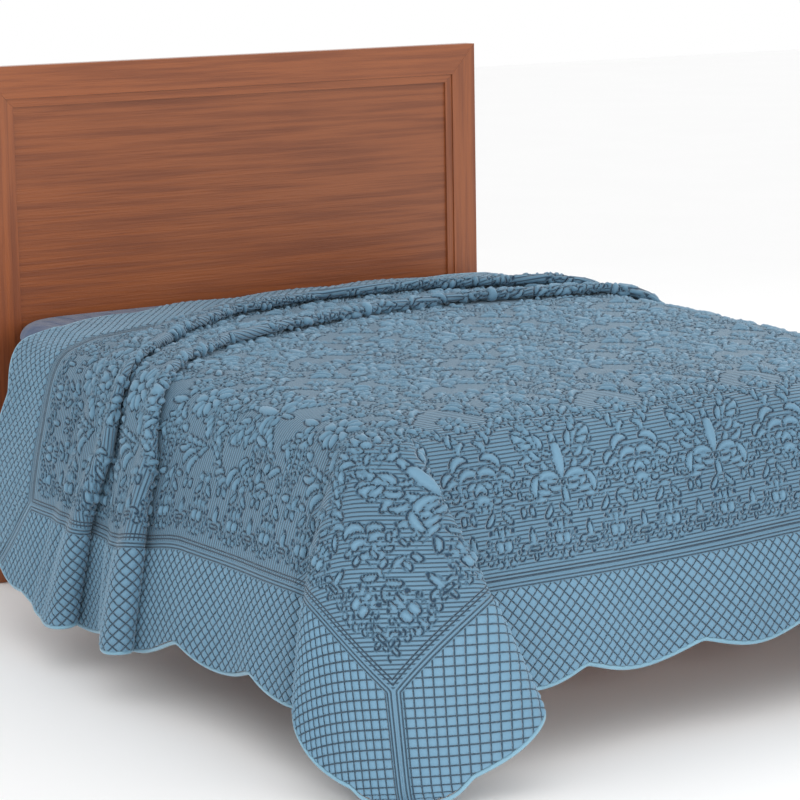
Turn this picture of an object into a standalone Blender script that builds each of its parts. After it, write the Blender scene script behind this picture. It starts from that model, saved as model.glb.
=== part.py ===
"""A quilted bedspread lying over a plain queen bed, as sewn panels on a mattress, base and headboard.

Metres, +Z up, floor at Z = 0. X runs across the bed, and Y from its foot towards the headboard.
The shapes are worked out from the middle of the mattress, and then moved to the footprint's middle.
The cloth is worked out flat first: u runs across it and v from its foot hem to its head edge.
cloth_point then folds it in two knife pleats and drapes it over the mattress.
"""

import math

import bmesh
import bpy
import numpy as np
from mathutils import Matrix

# Bed
MATTRESS_WIDTH = 1.53
MATTRESS_LENGTH = 2.02
MATTRESS_EDGE = 0.06
MATTRESS_TUCK = 0.01
BASE_TOP = 0.440
RAIL_HEIGHT = 0.17
RAIL_THICKNESS = 0.028
LEG_SIDE = 0.07
SLAB_THICKNESS = 0.03
HEADBOARD_WIDTH = 1.58
HEADBOARD_HEIGHT = 1.391
HEADBOARD_DEPTH = 0.045
HEADBOARD_Y = 1.016
POST_WIDTH = 0.078
TOP_BAND = 0.086
PANEL_RECESS = 0.010
PANEL_BOTTOM = 0.455
MOULDING_WIDTH = 0.022
MOULDING_DEPTH = 0.006
FIT_GAP = 0.0003
REST_GAP = 0.0012

# Cloth
QUILT_THICKNESS = 0.005
BINDING_THICKNESS = 0.007
BINDING_WIDTH = 0.009
BINDING_GAP = 0.0009
SEAM_GAP = 0.0006
TOP_HEIGHT = 0.723
TOP_HALF_WIDTH = 0.74
TOP_FOOT_Y = -0.90
FIELD_DROP = 0.444
BORDER_WIDTH = 0.251
HEAD_EDGE_V = 1.235
CORNER_ROUNDING = 0.25
SCALLOP_DEPTH = 0.032
FOOT_NARROWING = 0.020
FIELD_HALF_WIDTH = TOP_HALF_WIDTH + FIELD_DROP
FOOT_SEAM_V = TOP_FOOT_Y - FIELD_DROP
HEAD_SEAM_V = HEAD_EDGE_V - BORDER_WIDTH
CORNER_CUT = CORNER_ROUNDING * (1 - math.sqrt(0.5))
CORNER_BORDER = BORDER_WIDTH - CORNER_CUT
CORNER_ARC = CORNER_ROUNDING * math.pi / 4

# Side profile: distance down the cloth from the flat top, and its slope there in degrees
PROFILE = (
    # distance, slope
    (0.00, 0.0),
    (0.05, 2.0),
    (0.10, 26.0),
    (0.15, 56.0),
    (0.19, 66.0),
    (0.30, 70.0),
    (0.42, 75.0),
    (0.52, 84.0),
    (0.70, 86.0),
    (1.10, 86.0),
)

# Plan of the big fold at a foot corner, beside the top's corner, where the cloth hangs FOLD_REACH down
FOLD_REACH = 0.695
FOLD_PLAN = (
    # outwards over the side, outwards over the foot
    (0.270, 0.000),
    (0.264, 0.045),
    (0.287, 0.085),
    (0.322, 0.120),
    (0.333, 0.175),
    (0.288, 0.258),
    (0.202, 0.330),
    (0.095, 0.380),
    (-0.010, 0.402),
    (-0.078, 0.396),
    (-0.108, 0.365),
    (-0.088, 0.334),
    (-0.030, 0.326),
    (0.030, 0.330),
    (0.066, 0.316),
    (0.066, 0.288),
    (0.034, 0.272),
    (0.000, 0.270),
)
FOLD_START = 0.08
FOLD_LEAN = 0.112
FOLD_EASE = 0.08
FLOOR_CLEARANCE = 0.012
FLOOR_BEND = 0.030
FLOOR_SLIDE = 0.6

# Knife pleats that run across the bed: where the fold lies along Y, and how far it laps, for a place across
PLEAT_PLACES = (-1.45, -1.18, -1.00, -0.84, -0.70, -0.50, -0.25, 0.05, 0.35, 0.62, 0.80, 1.10, 1.45)
PLEAT_TABLE = (
    # fold Y and lap of the pleat near the foot, fold Y and lap of the pleat near the head
    (-0.250, 0.135, 0.085, 0.135),
    (-0.275, 0.135, 0.010, 0.135),
    (-0.235, 0.130, -0.020, 0.130),
    (-0.150, 0.120, 0.020, 0.120),
    (-0.005, 0.105, 0.160, 0.105),
    (0.165, 0.085, 0.390, 0.085),
    (0.290, 0.065, 0.590, 0.065),
    (0.380, 0.055, 0.680, 0.055),
    (0.410, 0.050, 0.690, 0.050),
    (0.350, 0.055, 0.600, 0.055),
    (0.290, 0.070, 0.520, 0.070),
    (0.210, 0.100, 0.440, 0.100),
    (0.150, 0.110, 0.400, 0.110),
)
INNER_FOLD = 0.006
HEAD_RISE = 0.006
FOOT_SAG = 0.026
SIDE_SLIP = 0.040
FOOT_SLIP = 0.035
ROLL_TOP = 0.010
ROLL_HEM = 0.030
ROLL_SETTLE = 0.05
LAP_SETTLE = 0.09

MATTRESS_COLOUR = (0.10, 0.16, 0.27)
CLOTH_COLOUR = (0.17, 0.34, 0.46)
BINDING_COLOUR = (0.20, 0.38, 0.50)
WOOD_COLOUR = (0.24, 0.07, 0.03)


def smooth(t):
    t = np.clip(t, 0.0, 1.0)
    return t * t * (3 - 2 * t)


def spline(points, count):
    """Points along a smooth curve through the given ones, evenly spaced."""
    p = np.array(points, float)
    p = np.vstack([2 * p[0] - p[1], p, 2 * p[-1] - p[-2]])
    t = np.linspace(0, 1, 24, endpoint=False)[:, None]
    runs = []
    for a, b, c, d in zip(p, p[1:], p[2:], p[3:]):
        run = 2 * b + (c - a) * t + (2 * a - 5 * b + 4 * c - d) * t**2
        runs.append(0.5 * (run + (3 * b - 3 * c + d - a) * t**3))
    line = np.vstack(runs + [p[-2:-1]])
    along = np.concatenate([[0], np.cumsum(np.linalg.norm(np.diff(line, axis=0), axis=1))])
    even = np.linspace(0, along[-1], count)
    return np.stack([np.interp(even, along, line[:, k]) for k in range(line.shape[1])], axis=1)


# Side profile
PROFILE_STEP = 0.005
PROFILE_S = np.arange(0, 1.1, PROFILE_STEP)
PROFILE_SLOPE = np.radians(np.interp(PROFILE_S, *np.array(PROFILE).T))
PROFILE_OUT = np.concatenate([[0], np.cumsum(np.cos(PROFILE_SLOPE)[:-1] * PROFILE_STEP)])


def corner_tables():
    """How far out over the side and the foot, and how far down, each point of a corner hangs.

    The rows are distances from the top's corner, and the columns are directions on the flat cloth.
    """
    turn = np.linspace(0, math.pi / 2, 181)
    share = turn / (math.pi / 2)
    plan = spline(FOLD_PLAN, 400)
    lean = share - FOLD_LEAN * np.sin(math.pi * share) ** 2
    fold = np.stack([np.interp(lean * 399, np.arange(400), plan[:, k]) for k in range(2)], axis=1)
    round_corner = np.stack([np.cos(turn), np.sin(turn)], axis=1)
    extra = fold - FOLD_PLAN[0][0] * round_corner
    grown = np.clip((PROFILE_S - FOLD_START) / (FOLD_REACH - FOLD_START), 0, None)
    out = PROFILE_OUT[:, None, None] * round_corner + grown[:, None, None] * extra
    pace = np.linalg.norm(np.diff(out, axis=0), axis=2) / PROFILE_STEP
    ease = 1 + FOLD_EASE * np.sin(math.pi * share) ** 2
    fall = np.sqrt(np.clip(1 - pace**2, 0.04, None)) * ease * PROFILE_STEP
    down = np.vstack([np.zeros(len(turn)), np.cumsum(fall, axis=0)])
    return out[:, :, 0], out[:, :, 1], down


OVER_SIDE, OVER_FOOT, DOWN = corner_tables()


def look_up(table, reach, turn):
    """The table's value between its rows and columns."""
    i = np.clip(reach / PROFILE_STEP, 0, table.shape[0] - 1.001)
    j = np.clip(turn / (math.pi / 2) * (table.shape[1] - 1), 0, table.shape[1] - 1.001)
    i0, j0 = i.astype(int), j.astype(int)
    fi, fj = i - i0, j - j0
    low = table[i0, j0] * (1 - fj) + table[i0, j0 + 1] * fj
    high = table[i0 + 1, j0] * (1 - fj) + table[i0 + 1, j0 + 1] * fj
    return low * (1 - fi) + high * fi


def top_height(x, y):
    """The middle of the cloth on the flat top: full at the head, lower at the foot's right."""
    head_rise = HEAD_RISE * smooth((y + 0.2) / 1.1)
    return TOP_HEIGHT + head_rise - FOOT_SAG * smooth((x - 0.1) / 0.8) * smooth((0.1 - y) / 0.9)


def pleat_sizes(u, pleat):
    """Fold place, lap, roll radius and cloth taken up by one pleat, for a place across the cloth."""
    table = np.array(PLEAT_TABLE)
    fold = np.interp(u, PLEAT_PLACES, table[:, 2 * pleat])
    lap = np.interp(u, PLEAT_PLACES, table[:, 2 * pleat + 1])
    hang = smooth((np.abs(u) - TOP_HALF_WIDTH) / (FIELD_DROP + BORDER_WIDTH))
    roll = ROLL_TOP + (ROLL_HEM - ROLL_TOP) * hang
    length = 2 * lap - roll + math.pi * (INNER_FOLD + roll)
    return fold, lap, roll, length


def upper_layer(past, lap, roll):
    """Lift of the layer over a pleat, past its fold: a puffed roll, then a double layer, then nothing."""
    settle = ROLL_SETTLE + 4 * (roll - ROLL_TOP)
    puff = (2 * roll - 2 * INNER_FOLD) * (1 - smooth((past - roll) / settle))
    layers = 4 * INNER_FOLD * (1 - smooth((past - lap - INNER_FOLD) / LAP_SETTLE))
    return np.where(past < roll, 0, puff + layers)


def pleated(u, v):
    """Place along the bed and lift off it, for a point of the flat cloth."""
    y, lift = v, np.zeros_like(v)
    for pleat in (0, 1):
        fold, lap, roll, length = pleat_sizes(u, pleat)
        s = y - fold
        inner_end = lap + math.pi * INNER_FOLD
        middle_end = inner_end + lap - roll
        angle = np.clip((s - lap) / INNER_FOLD, 0, math.pi)
        turned = np.clip((s - middle_end) / roll, 0, math.pi)
        place = np.select(
            [s < lap, s < inner_end, s < middle_end, s < length],
            [s, lap + INNER_FOLD * np.sin(angle), lap - (s - inner_end), roll - roll * np.sin(turned)],
            s - length + roll,
        )
        layer = np.select(
            [s < lap, s < inner_end, s < middle_end, s < length],
            [
                0,
                INNER_FOLD * (1 - np.cos(angle)),
                2 * INNER_FOLD,
                2 * INNER_FOLD + roll * (1 - np.cos(turned)),
            ],
            upper_layer(place, lap, roll),
        )
        if pleat == 0:
            first_fold, first_lap, first_roll = fold, lap, roll
            second_start = s > length
        else:
            under = upper_layer(fold + place - first_fold, first_lap, first_roll)
            layer = np.where(second_start, layer + under, lift)
        y, lift = fold + place, layer
    return y, lift


def wave(along, drop, fade):
    """Soft unevenness of a hanging side, growing towards its hem."""
    grown = (drop / (FIELD_DROP + BORDER_WIDTH)) ** 2
    ripple = np.sin(9.7 * along + 0.8) + 0.6 * np.sin(17.3 * along + 2.2)
    return 0.011 * grown * ripple * smooth(fade / 0.25)


def cloth_point(u, v):
    """The middle of the draped cloth at a point of the flat one, as an array of X, Y, Z."""
    y, lift = pleated(u, v)
    side = np.where(u < 0, -1.0, 1.0)
    slip = np.where(u < 0, SIDE_SLIP, 0) * smooth((y + 0.42) / 0.30)
    u = u + side * slip * np.clip(np.abs(u) / TOP_HALF_WIDTH, 0, 1)
    y = y + FOOT_SLIP * smooth((u + 0.35) / 1.1) * smooth((0.3 - y) / 1.1)
    over_side = np.clip(np.abs(u) - TOP_HALF_WIDTH, 0, None)
    over_foot = np.clip(TOP_FOOT_Y - y, 0, None)
    reach = np.hypot(over_side, over_foot)
    turn = np.arctan2(over_foot, over_side)
    x_edge = np.clip(u, -TOP_HALF_WIDTH, TOP_HALF_WIDTH)
    y_edge = np.maximum(y, TOP_FOOT_Y)
    slope = np.interp(reach, PROFILE_S, PROFILE_SLOPE)
    on_side = (over_foot == 0) & (over_side > 0)
    on_foot = (over_side == 0) & (over_foot > 0)
    lift = lift + np.where(on_side, wave(y + 0.3 * side, reach, y - TOP_FOOT_Y), 0)
    lift = lift + np.where(on_foot, wave(u, reach, TOP_HALF_WIDTH - np.abs(u)), 0)
    lean_side = np.where(on_side, np.sin(slope), 0) * lift
    lean_foot = np.where(on_foot, np.sin(slope), 0) * lift
    out_side, out_foot = look_up(OVER_SIDE, reach, turn), look_up(OVER_FOOT, reach, turn)
    z = top_height(x_edge, y_edge) - look_up(DOWN, reach, turn) + np.cos(slope) * lift
    above = z - FLOOR_CLEARANCE
    raised = (np.sqrt(above**2 + FLOOR_BEND**2) - above) / 2
    slide = 1 + FLOOR_SLIDE * raised / np.maximum(np.hypot(out_side, out_foot), FLOOR_BEND)
    x = x_edge + side * (out_side * slide + lean_side)
    y = y_edge - out_foot * slide - lean_foot
    return np.stack([x, y, z + raised], axis=-1)


def cloth_normal(u, v):
    """The direction that the face of the cloth looks in."""
    step = 0.0012
    across = cloth_point(u + step, v) - cloth_point(u - step, v)
    along = cloth_point(u, v + step) - cloth_point(u, v - step)
    normal = np.cross(across, along)
    return normal / np.linalg.norm(normal, axis=-1, keepdims=True)


# Hem: distance along it from one corner's middle to the next, and where its scallops meet
SIDE_HEM = 2 * CORNER_ARC + HEAD_EDGE_V - TOP_FOOT_Y + FIELD_DROP + BORDER_WIDTH - 2 * CORNER_ROUNDING
FOOT_HEM = 2 * (CORNER_ARC + FIELD_HALF_WIDTH + BORDER_WIDTH - CORNER_ROUNDING)
SIDE_CUSPS = (0.16, 0.48, 0.80, 1.12, 1.44, 1.76, 2.12, SIDE_HEM - 0.17)
FOOT_CUSPS = (0.17, 0.44, 0.70, 0.959, 1.281, 1.603, 1.925, 2.247, FOOT_HEM - 0.17)


def scallop(distance, cusps, length):
    """How far the hem draws in at a distance along it: not at all in the middle of a scallop."""
    ends = np.array([-cusps[0], *cusps, 2 * length - cusps[-1]])
    place = np.clip(np.searchsorted(ends, distance) - 1, 0, len(ends) - 2)
    share = (distance - ends[place]) / (ends[place + 1] - ends[place])
    return SCALLOP_DEPTH * (1 - np.sqrt(np.sin(math.pi * share) ** 2 + 0.015)) / 0.88


def hem_width(along, start, end, cusps, length):
    """Width of a border strip at a place along its hem, with the corners rounded and the scallops cut."""
    near = np.clip(np.minimum(along - start, end - along), 0, None)
    inward = np.clip(CORNER_ROUNDING - near, 0, CORNER_ROUNDING)
    rounded = CORNER_ROUNDING - np.sqrt(CORNER_ROUNDING**2 - inward**2)
    arc = CORNER_ROUNDING * np.arcsin(inward / CORNER_ROUNDING)
    straight = near - CORNER_ROUNDING + CORNER_ARC
    from_corner = np.where(inward > 0, CORNER_ARC - arc, straight)
    distance = np.where(along - start < end - along, from_corner, length - from_corner)
    slant = np.cos(np.arcsin(inward / CORNER_ROUNDING))
    return BORDER_WIDTH - rounded - scallop(distance, cusps, length) / slant


# Rows of the grids along v: a pleat is its lap, its inner fold, its middle layer and its outer roll
PLEAT_ROWS = (0.0, 1.0, 1.33, 1.67, 2.0, 3.0, 3.2, 3.4, 3.6, 3.8, 4.0)
PLEAT_RUNS = 4
SECOND_PLEAT = 2 + PLEAT_RUNS
LAST_RUN = SECOND_PLEAT + PLEAT_RUNS


def pleat_knots(start, lap, roll, length):
    """Where along the cloth the parts of a pleat begin and end."""
    inner_end = lap + math.pi * INNER_FOLD
    return [start, start + lap, start + inner_end, start + inner_end + lap - roll, start + length]


def rows_along(u, number, start, end):
    """v for row numbers from 0 at the start, through both pleats, to LAST_RUN + 1 at the end."""
    first, first_lap, first_roll, first_length = pleat_sizes(u, 0)
    second, second_lap, second_roll, second_length = pleat_sizes(u, 1)
    knots = [start] + pleat_knots(first, first_lap, first_roll, first_length)
    second_start = second + first_length - first_roll
    knots += pleat_knots(second_start, second_lap, second_roll, second_length) + [end]
    value = np.zeros(np.broadcast(u, number).shape)
    for k, (low, high) in enumerate(zip(knots, knots[1:])):
        value = value + np.clip(number - k, 0, 1) * (high - low)
    return knots[0] + value


def row_numbers(before, between, after):
    """Row numbers with the given ones in the three plain runs, and PLEAT_ROWS in each pleat."""
    pleat = np.array(PLEAT_ROWS)
    plain = [before, SECOND_PLEAT - 1 + np.array(between), LAST_RUN + np.array(after)]
    return np.unique(np.round(np.concatenate(plain + [1 + pleat, SECOND_PLEAT + pleat]), 6))


def material(name, colour, roughness):
    made = bpy.data.materials.new(name)
    made.use_nodes = True
    shader = made.node_tree.nodes["Principled BSDF"]
    shader.inputs["Base Color"].default_value = (*colour, 1)
    shader.inputs["Roughness"].default_value = roughness
    return made


def add_object(name, vertices, faces, finish, smooth_shading=False):
    mesh = bpy.data.meshes.new(name)
    mesh.from_pydata([tuple(v) for v in vertices], [], [tuple(f) for f in faces])
    mesh.validate()
    if smooth_shading:
        mesh.shade_smooth()
    mesh.materials.append(finish)
    made = bpy.data.objects.new(name, mesh)
    bpy.context.scene.collection.objects.link(made)
    return made


def grid_faces(rows, columns, closed=False):
    """Quads of a grid of points in rows, which meets itself if closed."""
    count = rows if closed else rows - 1
    faces = []
    for i in range(count):
        for j in range(columns - 1):
            low, high = i * columns + j, (i + 1) % rows * columns + j
            faces.append((low, low + 1, high + 1, high))
    return faces


def sheet_solid(name, u, v, thickness, finish, closed=False, backwards_from=None):
    """A closed sheet of cloth over a grid of flat points, one row for each place along it.

    From the row backwards_from on, the rows run the other way along their seam.
    """
    rows, columns = u.shape
    middle = cloth_point(u, v).reshape(-1, 3)
    lean = cloth_normal(u, v).reshape(-1, 3) * thickness / 2
    count = len(middle)
    vertices = np.vstack([middle + lean, middle - lean])
    top = grid_faces(rows, columns, closed)
    faces = list(top) + [tuple(count + k for k in reversed(face)) for face in top]
    last = rows if closed else rows - 1
    rim = []
    for i in range(last):
        following = (i + 1) % rows
        rim.append((following * columns, i * columns))
        rim.append((i * columns + columns - 1, following * columns + columns - 1))
    if not closed:
        rim += [(j, j + 1) for j in range(columns - 1)]
        ends = (rows - 1) * columns
        rim += [(ends + j + 1, ends + j) for j in range(columns - 1)]
    turned = backwards_from if backwards_from else rows
    for a, b in rim:
        forwards = (a < b) == (min(a, b) // columns < turned)
        faces += rim_faces(a, b, count, forwards)
    made = add_object(name, vertices, faces, finish, smooth_shading=True)
    turn_outwards(made)
    return made


def rim_faces(a, b, count, forwards):
    """Two triangles across the sheet's edge, cut the same way on both sides of a seam."""
    if forwards:
        return [(b, a, count + b), (a, count + a, count + b)]
    return [(b, a, count + a), (b, count + a, count + b)]


def turn_outwards(made):
    """Faces wound so that the whole body looks outwards."""
    shape = bmesh.new()
    shape.from_mesh(made.data)
    if shape.calc_volume(signed=True) < 0:
        bmesh.ops.reverse_faces(shape, faces=shape.faces[:])
    shape.to_mesh(made.data)
    shape.free()


# How much closer the columns of the grids stand near the top's edges than near the seam
COLUMN_CROWDING = 1.25


def centre_columns():
    drop = (FIELD_DROP - SEAM_GAP / 2) * np.linspace(0, 1, 14)[1:] ** COLUMN_CROWDING
    side = TOP_HALF_WIDTH + drop
    top = np.linspace(-TOP_HALF_WIDTH, TOP_HALF_WIDTH, 15)
    near_corner = np.linspace(top[-2], top[-1], 4)[1:-1]
    return np.sort(np.concatenate([-side, -near_corner, top, near_corner, side]))


# Share of the first run of rows that is spent on the part over the foot
OVER_FOOT_SHARE = 0.30
BETWEEN_ROWS = (0.25, 0.55)
AFTER_ROWS = (0.0, 0.15, 0.35, 0.55, 0.78, 1.0)


def cloth_rows():
    """Row numbers of the panel and of the side borders, which meet along the seam."""
    hanging = np.linspace(0, OVER_FOOT_SHARE, 14)
    lying = np.linspace(OVER_FOOT_SHARE, 1, 12)[1:]
    return row_numbers(np.concatenate([hanging, lying]), BETWEEN_ROWS, AFTER_ROWS)


def run_before_pleats(u, share, start):
    """Share of the first run, with its first rows spent on the part over the foot."""
    first = pleat_sizes(u, 0)[0]
    over = (TOP_FOOT_Y - start) / (first - start)
    hanging = share / OVER_FOOT_SHARE * over
    lying = over + (share - OVER_FOOT_SHARE) / (1 - OVER_FOOT_SHARE) * (1 - over)
    return np.where(share < 1, np.where(share < OVER_FOOT_SHARE, hanging, lying), share)


def centre_panel(finish):
    u, share = np.meshgrid(centre_columns(), cloth_rows())
    start = FOOT_SEAM_V + SEAM_GAP / 2
    v = rows_along(u, run_before_pleats(u, share, start), start, HEAD_SEAM_V - SEAM_GAP / 2)
    return sheet_solid("centre_panel", u, v, QUILT_THICKNESS, finish)


ACROSS_BORDER = (0.0, 0.34, 0.67, 1.0)


def side_strip(side, across, offset=0.0, gap=SEAM_GAP / 2):
    """Flat points of a side border, from its foot mitre to its head mitre."""
    s, share = np.meshgrid(across, cloth_rows())
    nominal = side * (FIELD_HALF_WIDTH + s * BORDER_WIDTH)
    reach = gap + s * (CORNER_BORDER - gap)
    start = FOOT_SEAM_V - reach + gap
    end = HEAD_SEAM_V + reach - gap
    v = rows_along(nominal, run_before_pleats(nominal, share, start), start, end)
    outer = v[:, -1:] if offset == 0 else v
    foot_end = FOOT_SEAM_V - BORDER_WIDTH
    width = hem_width(outer, foot_end, HEAD_EDGE_V, SIDE_CUSPS, SIDE_HEM)
    u = side * (FIELD_HALF_WIDTH + gap + s * (width - gap) + offset)
    return u, v


def end_strip(along_foot, across):
    """Flat points of the foot border or the head border, from one mitre to the other."""
    s, share = np.meshgrid(across, centre_columns() / FIELD_HALF_WIDTH)
    gap = SEAM_GAP / 2
    reach = gap + s * (CORNER_BORDER - gap)
    u = share * (FIELD_HALF_WIDTH + reach - gap)
    edge = FIELD_HALF_WIDTH + BORDER_WIDTH
    width = hem_width(u[:, -1:], -edge, edge, FOOT_CUSPS, FOOT_HEM)
    width = width - FOOT_NARROWING * smooth((FIELD_HALF_WIDTH - np.abs(u[:, -1:])) / 0.5)
    out = gap + s * (width - gap)
    v = FOOT_SEAM_V - out if along_foot else HEAD_SEAM_V + out
    return u, v


def border_strips(finish):
    for name, side in (("border_left", -1), ("border_right", 1)):
        u, v = side_strip(side, np.array(ACROSS_BORDER))
        sheet_solid(name, u, v, QUILT_THICKNESS, finish)
    for name, along_foot in (("border_foot", True), ("border_head", False)):
        u, v = end_strip(along_foot, np.array(ACROSS_BORDER))
        sheet_solid(name, u, v, QUILT_THICKNESS, finish)


def hem_ring():
    """The hem's outline on the flat cloth, once round, with the direction that leads off the cloth."""
    left_u, left_v = side_strip(-1, np.array([0.0, 1.0]))
    right_u, right_v = side_strip(1, np.array([0.0, 1.0]))
    foot_u, foot_v = end_strip(True, np.array([0.0, 1.0]))
    head_u, head_v = end_strip(False, np.array([0.0, 1.0]))
    loop = [np.stack([foot_u[:, 1], foot_v[:, 1]], axis=1)]
    loop += [np.stack([right_u[:, 1], right_v[:, 1]], axis=1)]
    loop += [np.stack([head_u[::-1, 1], head_v[::-1, 1]], axis=1)]
    loop += [np.stack([left_u[::-1, 1], left_v[::-1, 1]], axis=1)]
    ring = np.vstack([run[:-1] for run in loop])
    ahead = np.roll(ring, -1, axis=0) - np.roll(ring, 1, axis=0)
    ahead /= np.linalg.norm(ahead, axis=1, keepdims=True)
    backwards_from = len(foot_u) + len(right_u) - 2
    return ring, np.stack([ahead[:, 1], -ahead[:, 0]], axis=1), backwards_from


def binding(finish):
    ring, off, backwards_from = hem_ring()
    steps = np.array([BINDING_GAP, BINDING_GAP + BINDING_WIDTH])
    points = ring[:, None, :] + off[:, None, :] * steps[None, :, None]
    u, v = points[:, :, 0], points[:, :, 1]
    return sheet_solid("edge_binding", u, v, BINDING_THICKNESS, finish, True, backwards_from)


def box(name, low, high, finish, bevel=0.002):
    """A box between two corners with slightly softened edges."""
    x, y, z = zip(low, high)
    vertices = [(a, b, c) for a in x for b in y for c in z]
    faces = [(0, 1, 3, 2), (4, 6, 7, 5), (0, 4, 5, 1), (2, 3, 7, 6), (0, 2, 6, 4), (1, 5, 7, 3)]
    made = add_object(name, vertices, faces, finish)
    turn_outwards(made)
    if bevel:
        soft = made.modifiers.new("soft edges", "BEVEL")
        soft.width = bevel
        soft.segments = 1
    return made


def mattress(finish):
    """Follows the underside of the cloth where it lies flat, and rounds off at its edges."""
    half = MATTRESS_WIDTH / 2
    foot, head = -MATTRESS_LENGTH / 2, MATTRESS_LENGTH / 2
    rim = 0.012
    across = np.linspace(-TOP_HALF_WIDTH, TOP_HALF_WIDTH, 14)
    along = np.linspace(TOP_FOOT_Y - 0.06, head - 0.05, 20)
    columns = np.concatenate([[-half, -half + rim], across, [half - rim, half]])
    rows = np.concatenate([[foot, foot + rim], along, [head - rim, head]])
    x, y = np.meshgrid(columns, rows)
    edge = np.minimum(half - np.abs(x), np.minimum(y - foot, head - y))
    drop = MATTRESS_EDGE * (1 - np.sqrt(np.clip(1 - (1 - np.clip(edge / MATTRESS_EDGE, 0, 1)) ** 2, 0, 1)))
    over = np.clip(TOP_FOOT_Y - y, 0, None)
    under_cloth = look_up(DOWN, over, np.full_like(over, math.pi / 2))
    level = top_height(np.clip(x, -TOP_HALF_WIDTH, TOP_HALF_WIDTH), np.maximum(y, TOP_FOOT_Y))
    top = level - np.maximum(drop, under_cloth) - QUILT_THICKNESS / 2 - REST_GAP
    count = x.size
    upper = np.stack([x, y, top], axis=-1).reshape(-1, 3)
    low_x = np.clip(x, -half + MATTRESS_TUCK, half - MATTRESS_TUCK)
    low_y = np.clip(y, foot + MATTRESS_TUCK, head - MATTRESS_TUCK)
    lower = np.stack([low_x, low_y, np.full_like(x, BASE_TOP + FIT_GAP)], axis=-1).reshape(-1, 3)
    faces = grid_faces(*x.shape)
    faces += [tuple(count + k for k in reversed(face)) for face in grid_faces(*x.shape)]
    n_rows, n_columns = x.shape
    ring = [(j, j + 1) for j in range(n_columns - 1)]
    end = n_columns - 1
    ring += [(i * n_columns + end, (i + 1) * n_columns + end) for i in range(n_rows - 1)]
    last = (n_rows - 1) * n_columns
    ring += [(last + j + 1, last + j) for j in range(n_columns - 1)]
    ring += [((i + 1) * n_columns, i * n_columns) for i in range(n_rows - 1)]
    faces += [(b, a, count + a, count + b) for a, b in ring]
    made = add_object("mattress", np.vstack([upper, lower]), faces, finish)
    turn_outwards(made)


def bed_base(finish):
    half = MATTRESS_WIDTH / 2
    foot = -MATTRESS_LENGTH / 2
    low, high = BASE_TOP - RAIL_HEIGHT, BASE_TOP
    inner = half - RAIL_THICKNESS
    back = HEADBOARD_Y - FIT_GAP
    for name, side in (("side_rail_left", -1), ("side_rail_right", 1)):
        edges = sorted((side * half, side * inner))
        box(name, (edges[0], foot + LEG_SIDE + FIT_GAP, low), (edges[1], back, high), finish)
    for name, side in (("foot_leg_left", -1), ("foot_leg_right", 1)):
        edges = sorted((side * half, side * (half - LEG_SIDE)))
        box(name, (edges[0], foot, 0), (edges[1], foot + LEG_SIDE, high), finish)
    across = half - LEG_SIDE - FIT_GAP
    box("foot_rail", (-across, foot, low), (across, foot + RAIL_THICKNESS, high), finish)
    inside = inner - FIT_GAP
    box(
        "bed_platform",
        (-inside, foot + LEG_SIDE + FIT_GAP, high - SLAB_THICKNESS),
        (inside, back, high),
        finish,
    )


def prism(name, outline, front, back, finish):
    """A board with the given outline in X and Z, between two Y."""
    count = len(outline)
    vertices = [(x, front, z) for x, z in outline] + [(x, back, z) for x, z in outline]
    faces = [tuple(range(count)), tuple(range(2 * count - 1, count - 1, -1))]
    faces += [(k, k + count, (k + 1) % count + count, (k + 1) % count) for k in range(count)]
    made = add_object(name, vertices, faces, finish)
    turn_outwards(made)
    return made


def headboard(finish):
    half, top = HEADBOARD_WIDTH / 2, HEADBOARD_HEIGHT
    front, back = HEADBOARD_Y, HEADBOARD_Y + HEADBOARD_DEPTH
    inner, under = half - POST_WIDTH, top - TOP_BAND
    gap = FIT_GAP
    for name, side in (("head_post_left", -1), ("head_post_right", 1)):
        outline = [(half, 0), (half, top - gap), (inner, under - gap), (inner, 0)]
        prism(name, [(side * x, z) for x, z in outline], front, back, finish)
    outline = [(-half + gap, top), (half - gap, top), (inner - gap, under), (-inner + gap, under)]
    prism("head_top_band", outline, front, back, finish)
    low, high = PANEL_BOTTOM, under - gap
    box(
        "head_panel",
        (-inner + gap, front + PANEL_RECESS, low),
        (inner - gap, back - PANEL_RECESS, high),
        finish,
    )
    moulding(inner - gap - gap, low, high - gap, front + PANEL_RECESS - gap, finish)
    box(
        "head_lower_rail",
        (-inner + gap, front + gap, BASE_TOP - RAIL_HEIGHT),
        (inner - gap, back, low - gap),
        finish,
    )


def moulding(half, low, high, back, finish):
    """The stepped bead round the panel, one mitred length along its top and one down each side."""
    wide, front = MOULDING_WIDTH, back - MOULDING_DEPTH
    top = [(-half, high), (half, high), (half - wide, high - wide), (-half + wide, high - wide)]
    prism("panel_bead_top", top, front, back, finish)
    for name, side in (("panel_bead_left", -1), ("panel_bead_right", 1)):
        inner, gap = half - wide, FIT_GAP * 1.5
        outline = [(half, low), (half, high - gap), (inner, high - wide - gap), (inner, low)]
        prism(name, [(side * x, z) for x, z in outline], front, back, finish)


def centre_on_footprint():
    """Moves everything so that the origin is the middle of the footprint."""
    corners = []
    for piece in bpy.data.objects:
        corners += [vertex.co for vertex in piece.data.vertices]
    low = [min(corner[k] for corner in corners) for k in range(2)]
    high = [max(corner[k] for corner in corners) for k in range(2)]
    middle = Matrix.Translation((-(low[0] + high[0]) / 2, -(low[1] + high[1]) / 2, 0))
    for piece in bpy.data.objects:
        piece.data.transform(middle)


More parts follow.
